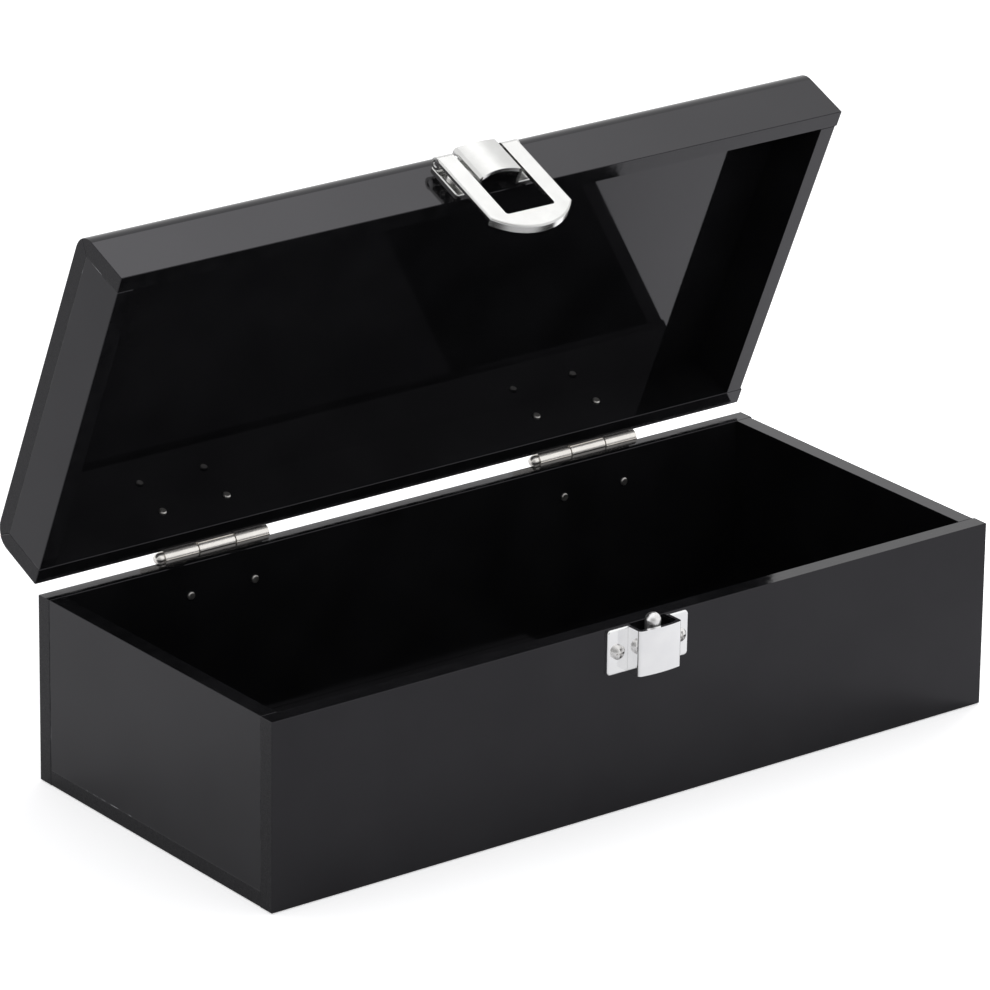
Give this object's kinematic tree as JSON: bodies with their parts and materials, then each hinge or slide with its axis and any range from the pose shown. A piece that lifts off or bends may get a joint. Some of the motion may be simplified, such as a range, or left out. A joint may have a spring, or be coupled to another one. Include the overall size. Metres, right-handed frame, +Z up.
{
  "type": "hinged card box",
  "caption": "Black acrylic card box with a hinged lid standing open, rear butt hinges and a swinging hasp latch on the front.",
  "frame": {"origin": "middle of the base's underside", "axes": "+X to the right along the length, +Y to the rear, +Z up"},
  "size_m": [0.189, 0.1038, 0.1298],
  "materials": {
    "black_acrylic": "polished cast acrylic",
    "hinge_nickel": "nickel plated",
    "latch_chrome": "bright plated",
    "screw_steel": "bright plated"
  },
  "bodies": {
    "base": {"base_front_panel": "black_acrylic", "base_rear_panel": "black_acrylic", "base_floor_panel": "black_acrylic", "base_left_panel": "black_acrylic", "base_right_panel": "black_acrylic", "base_hinge_screws": "screw_steel", "left_hinge_base_leaf": "hinge_nickel", "right_hinge_base_leaf": "hinge_nickel", "left_hinge_pin": "hinge_nickel", "right_hinge_pin": "hinge_nickel", "latch_catch": "latch_chrome", "catch_screws": "screw_steel", "catch_post": "latch_chrome"},
    "lid": {"lid_top_panel": "black_acrylic", "lid_front_panel": "black_acrylic", "lid_rear_panel": "black_acrylic", "lid_left_panel": "black_acrylic", "lid_right_panel": "black_acrylic", "lid_hinge_screws": "screw_steel", "left_hinge_lid_leaf": "hinge_nickel", "right_hinge_lid_leaf": "hinge_nickel", "hasp_bracket": "latch_chrome", "bracket_screws": "screw_steel"},
    "hasp": {"hasp_loop": "latch_chrome", "hasp_pin": "latch_chrome"}
  },
  "joints": [
    {"name": "lid_hinge", "type": "hinge", "parent": "base", "child": "lid", "pos_m": [0, 0.0438, 0.04215], "axis": [-1, 0, 0], "range_deg": [-66.9, 103.1]},
    {"name": "hasp_hinge", "type": "hinge", "parent": "lid", "child": "hasp", "pos_m": [0.0006, 0.01768, 0.12722], "axis": [-1, 0, 0], "range_deg": [0, 120]}
  ]
}
